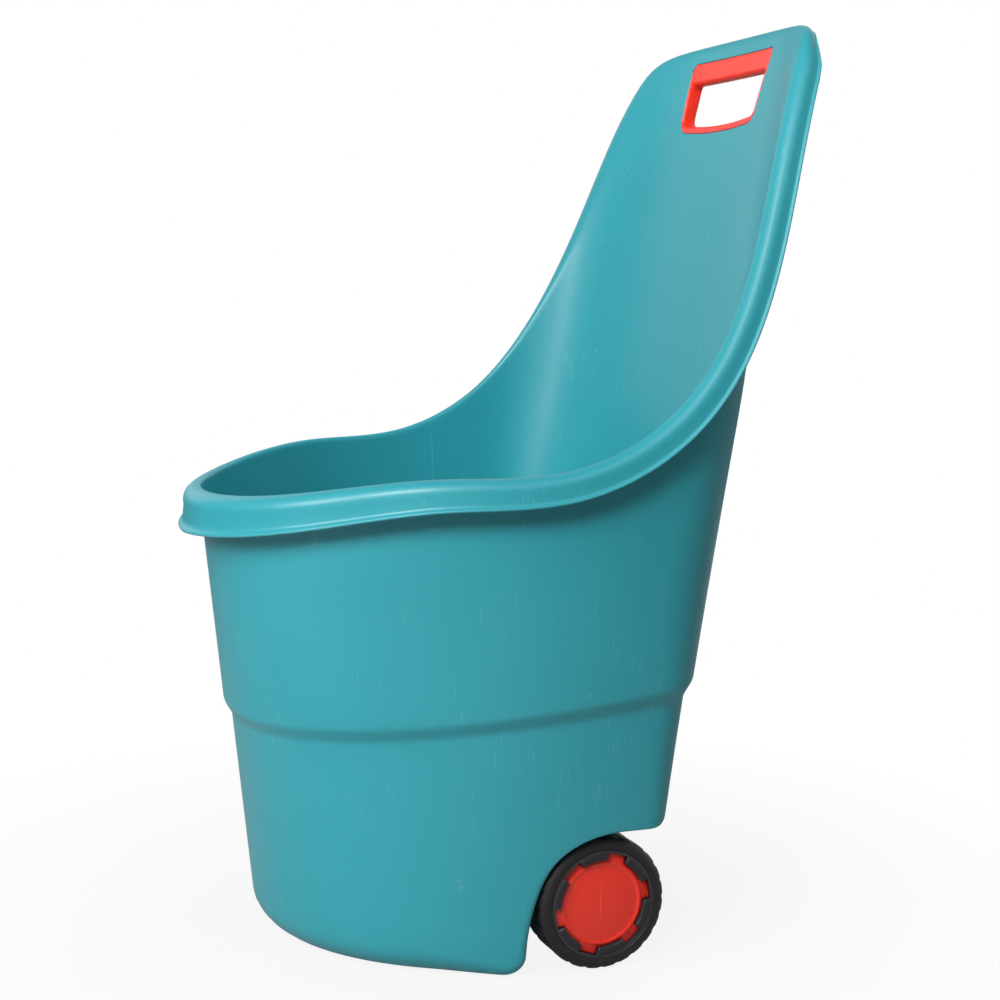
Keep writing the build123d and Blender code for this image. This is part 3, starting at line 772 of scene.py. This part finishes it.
def wear_and_sheen_share(tree, place, patches, scratch):
    """How far the skin is made pale at each place by wear and by a painted sheen on its edges, from 0 to 1.
    """
    stretched = add_node(tree, "ShaderNodeMapping", [
        ("Vector", place), ("Rotation", HAIR_LEAN), ("Scale", [per_metre(size) for size in HAIR_MM])])
    hair = add_node(tree, "ShaderNodeTexNoise", [
        ("Vector", stretched.outputs["Vector"]), ("Scale", 1.0), ("Detail", 1.0)])
    lines_only = add_node(tree, "ShaderNodeMapRange", [
        ("Value", hair.outputs["Fac"]), ("From Min", 0.66), ("From Max", 0.74)])
    where = add_node(tree, "ShaderNodeMapRange", [
        ("Value", patches), ("From Min", 0.5), ("From Max", 0.7), ("To Max", scratch),
    ], interpolation_type="SMOOTHSTEP")
    scratches = add_node(tree, "ShaderNodeMath", [
        (0, lines_only.outputs["Result"]), (1, where.outputs["Result"])], operation="MULTIPLY")
    smear = add_node(tree, "ShaderNodeTexNoise", [
        ("Vector", place), ("Scale", per_metre(SCUFF_MM)), ("Detail", 5.0), ("Roughness", 0.62)])
    scuffs = add_node(tree, "ShaderNodeMapRange", [
        ("Value", smear.outputs["Fac"]), ("From Min", 0.64), ("From Max", 0.82), ("To Max", SCUFF_SHARE),
    ], interpolation_type="SMOOTHSTEP")
    shape = add_node(tree, "ShaderNodeNewGeometry")
    # Convex edges, found by pointiness, are made paler: partly rubbed wear, partly a painted sheen standing
    # in for a highlight.
    edges = add_node(tree, "ShaderNodeMapRange", [
        ("Value", shape.outputs["Pointiness"]), ("From Min", 0.53), ("From Max", 0.62),
        ("To Max", EDGE_WEAR_AND_SHEEN_SHARE)])
    marks = add_node(tree, "ShaderNodeMath", [
        (0, scratches.outputs[0]), (1, scuffs.outputs["Result"])], operation="MAXIMUM")
    return add_node(tree, "ShaderNodeMath", [
        (0, marks.outputs[0]), (1, edges.outputs["Result"])], operation="MAXIMUM").outputs[0]


print("hair scratches", HAIR_MM, "mm, scuffs", SCUFF_MM, "mm")

# %% [markdown]
# Moulded plastics share a build: an even colour with a faint drift from the pigment, a satin skin copied
# from the tool with a fine grain on long soft waves, and the wear together with a painted sheen on standing
# edges. The values in the list say what sets each of them apart. Teal is injection moulded polypropylene,
# waxy satin. Red is the same plastic from a glossier tool. The tyre is black polyethylene, matt, and the
# core is black polypropylene, satin. Four trees built by hand would drift apart, so one loop builds them all.

# %% Moulded plastics
DRIFT_MM, PATCH_MM, WAVE_MM, PLASTIC_IOR = 250.0, 60.0, 50.0, 1.49
plastics = {}
for use, name, deep, pale, pale_wear_and_sheen, gloss, skin_coat, grain_mm, scratch in (
    ("tub", "teal_polypropylene_moulded", "#2a9aa6", "#31a2af", "#8fd0d6", 0.43, 0.2, 1.4, 0.28),
    ("grip", "red_polypropylene_moulded", "#ff2f1c", "#ff3821", "#ff8f78", 0.36, 0.2, 1.2, 0.30),
    ("tyre", "black_polyethylene_moulded", "#171315", "#1d191b", "#403c40", 0.52, 0.0, 0.9, 0.30),
    ("core", "black_polypropylene_moulded", "#1b191c", "#232125", "#505157", 0.42, 0.1, 1.0, 0.30),
):
    plastics[use], tree, place = start_material(name)
    drift = add_node(tree, "ShaderNodeTexNoise", [
        ("Vector", place), ("Scale", per_metre(DRIFT_MM)), ("Detail", 2.0), ("Roughness", 0.4)])
    pigment = add_node(tree, "ShaderNodeValToRGB", [("Fac", drift.outputs["Fac"])])
    for stop, (position, code) in zip(pigment.color_ramp.elements, ((0.3, deep), (0.7, pale))):
        stop.position, stop.color = position, linear(code)
    patchy = add_node(tree, "ShaderNodeTexNoise", [
        ("Vector", place), ("Scale", per_metre(PATCH_MM)), ("Detail", 3.0)])
    wear_and_sheen_amount = wear_and_sheen_share(tree, place, patchy.outputs["Fac"], scratch)
    # The pale colour serves both the rubbed wear and the painted sheen on standing edges.
    colour = add_node(tree, "ShaderNodeMix", [
        ("Factor", wear_and_sheen_amount), (6, pigment.outputs["Color"]), (7, linear(pale_wear_and_sheen))], data_type="RGBA")
    rough = add_node(tree, "ShaderNodeMapRange", [
        ("Value", patchy.outputs["Fac"]), ("From Min", 0.2), ("From Max", 0.8),
        ("To Min", gloss - 0.03), ("To Max", gloss + 0.03)])
    rougher = add_node(tree, "ShaderNodeMath", [
        (0, wear_and_sheen_amount), (1, 0.25), (2, rough.outputs["Result"])], operation="MULTIPLY_ADD")
    waves = add_node(tree, "ShaderNodeTexNoise", [
        ("Vector", place), ("Scale", per_metre(WAVE_MM)), ("Detail", 1.0)])
    grain = add_node(tree, "ShaderNodeTexNoise", [
        ("Vector", place), ("Scale", per_metre(grain_mm)), ("Detail", 2.0)])
    long_bump = add_node(tree, "ShaderNodeBump", [
        ("Height", waves.outputs["Fac"]), ("Strength", 0.06), ("Distance", 0.002)])
    fine_bump = add_node(tree, "ShaderNodeBump", [
        ("Height", grain.outputs["Fac"]), ("Strength", 0.05), ("Distance", 0.0003),
        ("Normal", long_bump.outputs["Normal"])])
    surface = add_node(tree, "ShaderNodeBsdfPrincipled", [
        ("Base Color", colour.outputs[2]), ("Roughness", rougher.outputs[0]), ("IOR", PLASTIC_IOR),
        ("Normal", fine_bump.outputs["Normal"]), ("Coat Weight", skin_coat), ("Coat Roughness", 0.2),
        ("Coat IOR", PLASTIC_IOR), ("Coat Normal", long_bump.outputs["Normal"]),
    ])
    add_node(tree, "ShaderNodeOutputMaterial", [("Surface", surface.outputs["BSDF"])])
    print("material", name)

# %% [markdown]
# The axle, the push-on nuts and the washers are small steel parts with a thin bright coat of zinc against
# rust. They hardly show and could be plain grey, but a cool metal with fine lines along the drawing and a
# slightly cloudy plating tells them apart from the plastic. The lines are drawn coarser than real ones to
# show.

# %% Zinc-plated steel
CLOUD_MM, LINE_MM = 8.0, (16.667, 0.6667, 0.6667)
zinc, tree, place = start_material("zinc_plated_drawn_steel")
along_bar = add_node(tree, "ShaderNodeMapping", [
    ("Vector", place), ("Scale", [per_metre(size) for size in LINE_MM])])
drawn = add_node(tree, "ShaderNodeTexNoise", [
    ("Vector", along_bar.outputs["Vector"]), ("Scale", 1.0), ("Detail", 2.0)])
cloudy = add_node(tree, "ShaderNodeTexNoise", [
    ("Vector", place), ("Scale", per_metre(CLOUD_MM)), ("Detail", 4.0)])
plating = add_node(tree, "ShaderNodeValToRGB", [("Fac", cloudy.outputs["Fac"])])
for stop, (position, code) in zip(plating.color_ramp.elements, ((0.3, "#b2b7ba"), (0.7, "#d2d5d4"))):
    stop.position, stop.color = position, linear(code)
rough = add_node(tree, "ShaderNodeMapRange", [
    ("Value", cloudy.outputs["Fac"]), ("To Min", 0.24), ("To Max", 0.42)])
lines_bump = add_node(tree, "ShaderNodeBump", [
    ("Height", drawn.outputs["Fac"]), ("Strength", 0.12), ("Distance", 0.0001)])
surface = add_node(tree, "ShaderNodeBsdfPrincipled", [
    ("Base Color", plating.outputs["Color"]), ("Metallic", 1.0), ("Roughness", rough.outputs["Result"]),
    ("Normal", lines_bump.outputs["Normal"]),
])
add_node(tree, "ShaderNodeOutputMaterial", [("Surface", surface.outputs["BSDF"])])
print("material", zinc.name)

# %% [markdown]
# Each piece takes its material by its name, new pieces and kept solids alike. It could be set where a piece
# is made, but the kept solids have no such place. Anything that is neither tub, grip, cap, tyre nor core is
# steel.

# %% Materials on the pieces
LOOKS = [
    ("tub", "tub"), ("_rib", "tub"), ("grip", "grip"), ("cap", "grip"), ("tyre", "tyre"),
    ("wheel_rim", "core"), ("core", "core"),
]
for piece in list(bpy.context.scene.objects):
    if piece.type != "MESH":
        continue
    kind = next((plastics[use] for word, use in LOOKS if word in piece.name), zinc)
    piece.data.materials.clear()
    piece.data.materials.append(kind)
    print(piece.name, "is", kind.name)

# %% [markdown]
# The stage is a pale paper floor. For the camera it fades to pure white away from the cart and keeps a
# faint shadow near it. For all other rays it is plain matt paper that throws a little light back at the
# tub. A floor lit to pure white would need so much light that the cart itself would look pale.

# %% Floor
HALF_FLOOR, SHADE_FROM, SHADE_TO, SHADE_SHARE = 9, 0.2, 0.7, 0.88
floor_corners = [(x * HALF_FLOOR, y * HALF_FLOOR, 0) for x, y in ((-1, -1), (1, -1), (1, 1), (-1, 1))]
floor_mesh = bpy.data.meshes.new("floor")
floor_mesh.from_pydata(floor_corners, [], [(0, 1, 2, 3)])
floor = bpy.data.objects.new("floor", floor_mesh)
bpy.context.scene.collection.objects.link(floor)
paper, tree, place = start_material("white_paper_floor")
matt = add_node(tree, "ShaderNodeBsdfDiffuse", [("Color", linear("#b4b4b4"))])
bright = add_node(tree, "ShaderNodeEmission", [("Color", linear("#ffffff")), ("Strength", 1.0)])
distance = add_node(tree, "ShaderNodeVectorMath", [("Vector", place)], operation="LENGTH")
far = add_node(tree, "ShaderNodeMapRange", [
    ("Value", distance.outputs["Value"]), ("From Min", SHADE_FROM), ("From Max", SHADE_TO),
    ("To Min", SHADE_SHARE), ("To Max", 1.0)])
path = add_node(tree, "ShaderNodeLightPath").outputs
fade = add_node(tree, "ShaderNodeMath", [
    (0, path["Is Camera Ray"]), (1, far.outputs["Result"])], operation="MULTIPLY")
mixed = add_node(tree, "ShaderNodeMixShader", [
    (0, fade.outputs[0]), (1, matt.outputs[0]), (2, bright.outputs[0])])
add_node(tree, "ShaderNodeOutputMaterial", [("Surface", mixed.outputs[0])])
floor_mesh.materials.append(paper)
print("floor", paper.name)

# %% [markdown]
# The background is white for the camera and dim for the light it throws on the cart. Mirrored light sees a
# white sheet that stands behind the cart and fades out towards the front, which gives the plastic its
# sheen. Real cards round the cart would do that too, but they would stand in the way of the other views.

# %% Background
SHEET_WAY, SHEET_FROM, SHEET_TO, SHEET_DIM, FILL = (-0.25, 0.97, 0.0), 0.3, 0.8, 0.3, 0.03
world = bpy.data.worlds.new("studio")
bpy.context.scene.world = world
world.use_nodes = True
tree = world.node_tree
tree.nodes.clear()
path = add_node(tree, "ShaderNodeLightPath").outputs
way_out = add_node(tree, "ShaderNodeTexCoord").outputs["Generated"]
behind = add_node(tree, "ShaderNodeVectorMath", [(0, way_out), (1, SHEET_WAY)], operation="DOT_PRODUCT")
sheet = add_node(tree, "ShaderNodeMapRange", [
    ("Value", behind.outputs["Value"]), ("From Min", SHEET_FROM), ("From Max", SHEET_TO),
    ("To Min", SHEET_DIM), ("To Max", 1.0)])
mirrored = add_node(tree, "ShaderNodeMath", [
    (0, path["Is Glossy Ray"]), (1, path["Is Transmission Ray"])], operation="MAXIMUM")
dim = add_node(tree, "ShaderNodeMix", [(0, mirrored.outputs[0]), (2, FILL), (3, sheet.outputs["Result"])])
seen = add_node(tree, "ShaderNodeMix", [(0, path["Is Camera Ray"]), (2, dim.outputs[0]), (3, 1.0)])
sky = add_node(tree, "ShaderNodeBackground", [("Color", linear("#ffffff")), ("Strength", seen.outputs[0])])
add_node(tree, "ShaderNodeOutputWorld", [("Surface", sky.outputs[0])])
print("background", world.name)

# %% [markdown]
# Two softboxes do most of the work. One stands to the right and high, the other lower in front, so the long
# side is bright at its front and falls off to the rear corner, and the rim throws a shadow on the wall. A
# weak one lights the far side and another the inside. The one behind keeps the back out of the dark. It
# gives no mirrored light, so that the panel's edge isn't lost against the white. An even light from all
# round would be simpler, but it would hide the step and the roll of the rim.

# %% Softboxes
AIM = Vector((0, 0, 0.4))
for name, spot, size, watts, shines in (
    ("side_softbox", (1.45, -1.45, 2.0), 0.9, 48, True),
    ("front_softbox", (0.61, -2.28, 1.5), 0.9, 33, True),
    ("left_softbox", (-2.36, -0.63, 1.29), 1.4, 4, True),
    ("right_softbox", (1.6, 0.0, 2.4), 1.2, 5, True),
    ("rear_softbox", (-1.29, 1.84, 1.7), 1.2, 34, False),
):
    lamp = bpy.data.lights.new(name, "AREA")
    lamp.size, lamp.energy = size, watts
    holder = bpy.data.objects.new(name, lamp)
    holder.location = spot
    holder.visible_glossy = shines
    holder.rotation_euler = (AIM - Vector(spot)).to_track_quat("-Z", "Y").to_euler()
    bpy.context.scene.collection.objects.link(holder)
    print(name, watts, "W")

# %% [markdown]
# The camera stands low, a little above the middle of the cart, and looks at its right side from somewhat in
# front, with a moderately long lens so that the tub keeps its proportions. It could be aimed by a
# constraint, but its axes are worked out instead, because the photograph is also rolled a little.

# %% Camera
azimuth, elevation, roll = math.radians(68.86), math.radians(6.741), math.radians(0.597)
TARGET, DISTANCE = Vector((0, 0.02337, 0.39133)), 1.728907
level = Vector((math.cos(azimuth), math.sin(azimuth), 0))
ahead_of_cart = Vector((math.sin(azimuth), -math.cos(azimuth), 0))
back = math.cos(elevation) * ahead_of_cart + Vector((0, 0, math.sin(elevation)))
up = back.cross(level)
right_way = math.cos(roll) * level + math.sin(roll) * up
up_way = math.cos(roll) * up - math.sin(roll) * level
lens = bpy.data.cameras.new("photo_camera")
lens.sensor_width, lens.lens = 36.0, 65.17
camera = bpy.data.objects.new("photo_camera", lens)
place_at = TARGET + DISTANCE * back
camera.matrix_world = Matrix.Translation(place_at) @ Matrix((right_way, up_way, back)).transposed().to_4x4()
bpy.context.scene.collection.objects.link(camera)
bpy.context.scene.camera = camera
bpy.context.scene.view_settings.view_transform = "Standard"
print("camera at", [round(v, 3) for v in place_at])

# %% [markdown]
# The dressed model has to keep the size of the solids. The last step brings the scene up to date.

# %% The end
bpy.context.view_layer.update()
